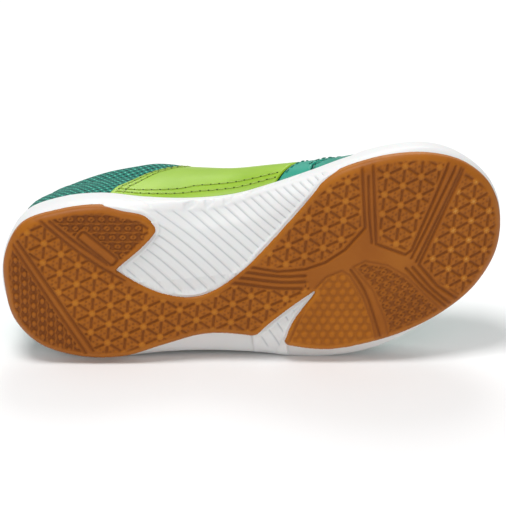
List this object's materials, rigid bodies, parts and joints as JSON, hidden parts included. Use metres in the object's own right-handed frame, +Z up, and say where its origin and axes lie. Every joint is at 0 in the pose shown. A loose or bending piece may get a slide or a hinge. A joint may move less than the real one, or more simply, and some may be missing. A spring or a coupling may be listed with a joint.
{
  "type": "sneaker",
  "caption": "Child's low indoor court sneaker for the left foot, lying on its outer side: gum outsole with an arch window, white foam midsole, teal mesh upper with lime side panels.",
  "frame": {"origin": "middle of the floor under the shoe's box, with the shoe lying on its outer side", "axes": "+X from heel to toe, +Y away from the sole towards the collar and tongue, +Z up from the outer to the inner side of the foot"},
  "size_m": [0.2044, 0.0926, 0.0902],
  "materials": {
    "gum_rubber": "satin translucent gum",
    "white_foam": "matt closed foam",
    "lining_fabric": "brushed lining",
    "teal_mesh": "open knit mesh",
    "lime_synthetic": "smooth synthetic",
    "teal_synthetic": "smooth synthetic",
    "lace_cord": "woven"
  },
  "bodies": {
    "root": {"outsole": "gum_rubber", "midsole": "white_foam", "insole": "lining_fabric", "upper": "teal_mesh", "tongue": "teal_mesh", "quarter_panel_outer": "lime_synthetic", "quarter_panel_inner": "lime_synthetic", "vamp_panel": "teal_synthetic", "toe_wrap": "teal_synthetic", "eyestay": "teal_synthetic", "backstay": "teal_synthetic", "lace_cross_1": "lace_cord", "lace_cross_2": "lace_cord", "lace_cross_3": "lace_cord", "lace_cross_4": "lace_cord"}
  },
  "joints": []
}
